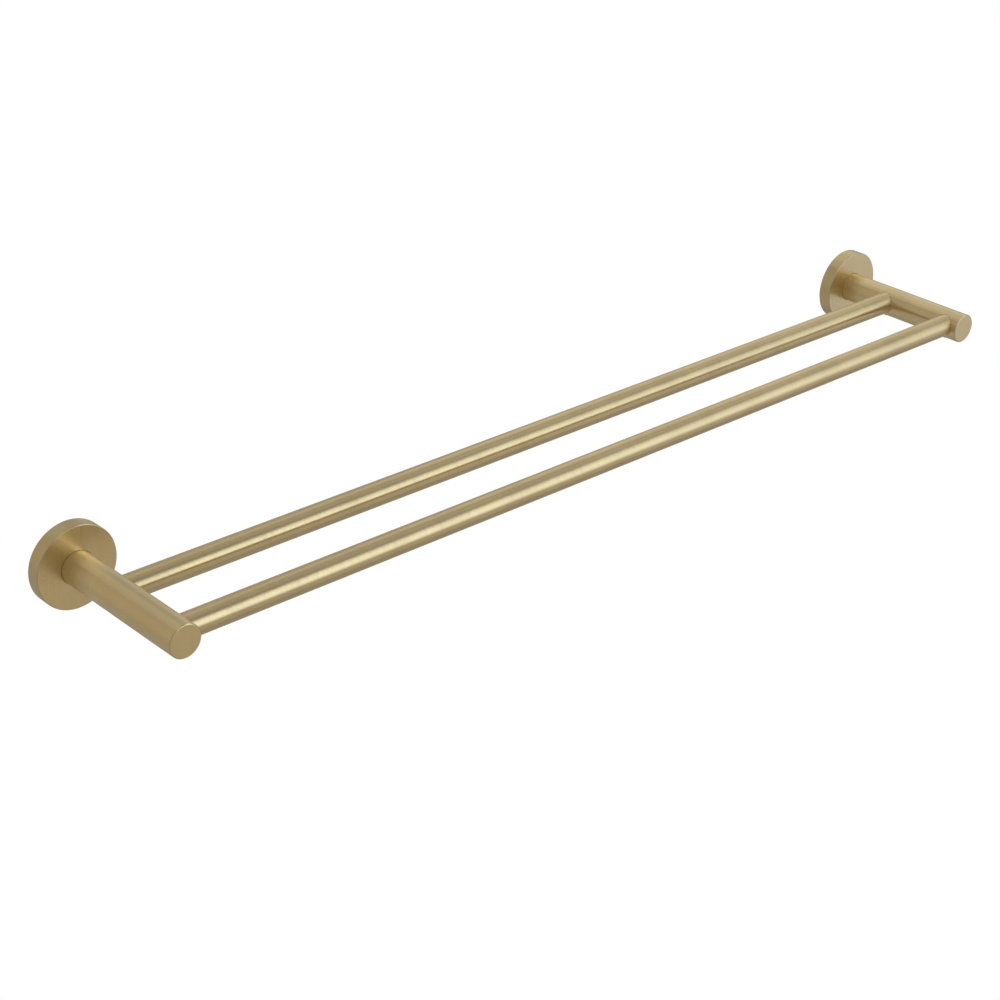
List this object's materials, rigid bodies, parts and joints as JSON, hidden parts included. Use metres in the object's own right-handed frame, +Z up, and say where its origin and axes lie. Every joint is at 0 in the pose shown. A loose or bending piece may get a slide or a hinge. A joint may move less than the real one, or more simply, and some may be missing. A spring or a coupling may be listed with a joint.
{
  "type": "towel rack",
  "caption": "Wall-mounted double towel rail: two parallel round bars between two round posts on round wall flanges, fixed by hidden brackets and set screws.",
  "frame": {"origin": "on the wall plane, midway between the two posts and level with the post axes", "axes": "+X along the bars to the right as seen from the room, +Y into the wall, +Z up"},
  "size_m": [0.775, 0.119, 0.055],
  "materials": {
    "brushed_brass": "satin, finely brushed",
    "zinc_bracket": "dull zinc plate",
    "steel_screw": "plain stainless steel",
    "nylon_plug": "matte moulded nylon"
  },
  "bodies": {
    "brackets": {"left_wall_bracket": "zinc_bracket", "right_wall_bracket": "zinc_bracket"},
    "rack": {"left_flange": "brushed_brass", "left_post": "brushed_brass", "left_post_screw": "steel_screw", "left_spring_washer": "steel_screw", "right_flange": "brushed_brass", "right_post": "brushed_brass", "right_post_screw": "steel_screw", "right_spring_washer": "steel_screw", "back_bar": "brushed_brass", "back_bar_left_plug": "nylon_plug", "back_bar_left_set_screw": "steel_screw", "back_bar_right_plug": "nylon_plug", "back_bar_right_set_screw": "steel_screw", "front_bar": "brushed_brass", "front_bar_left_plug": "nylon_plug", "front_bar_left_set_screw": "steel_screw", "front_bar_right_plug": "nylon_plug", "front_bar_right_set_screw": "steel_screw"},
    "left_lock": {"left_flange_set_screw": "steel_screw"},
    "right_lock": {"right_flange_set_screw": "steel_screw"}
  },
  "joints": [
    {"name": "lift_off", "type": "slide", "parent": "brackets", "child": "rack", "axis": [0, -1, 0], "range_m": [0, 0.02]},
    {"name": "left_lock_screw", "type": "slide", "parent": "rack", "child": "left_lock", "axis": [0, 0, -1], "range_m": [0, 0.0024]},
    {"name": "right_lock_screw", "type": "slide", "parent": "rack", "child": "right_lock", "axis": [0, 0, -1], "range_m": [0, 0.0024]}
  ]
}
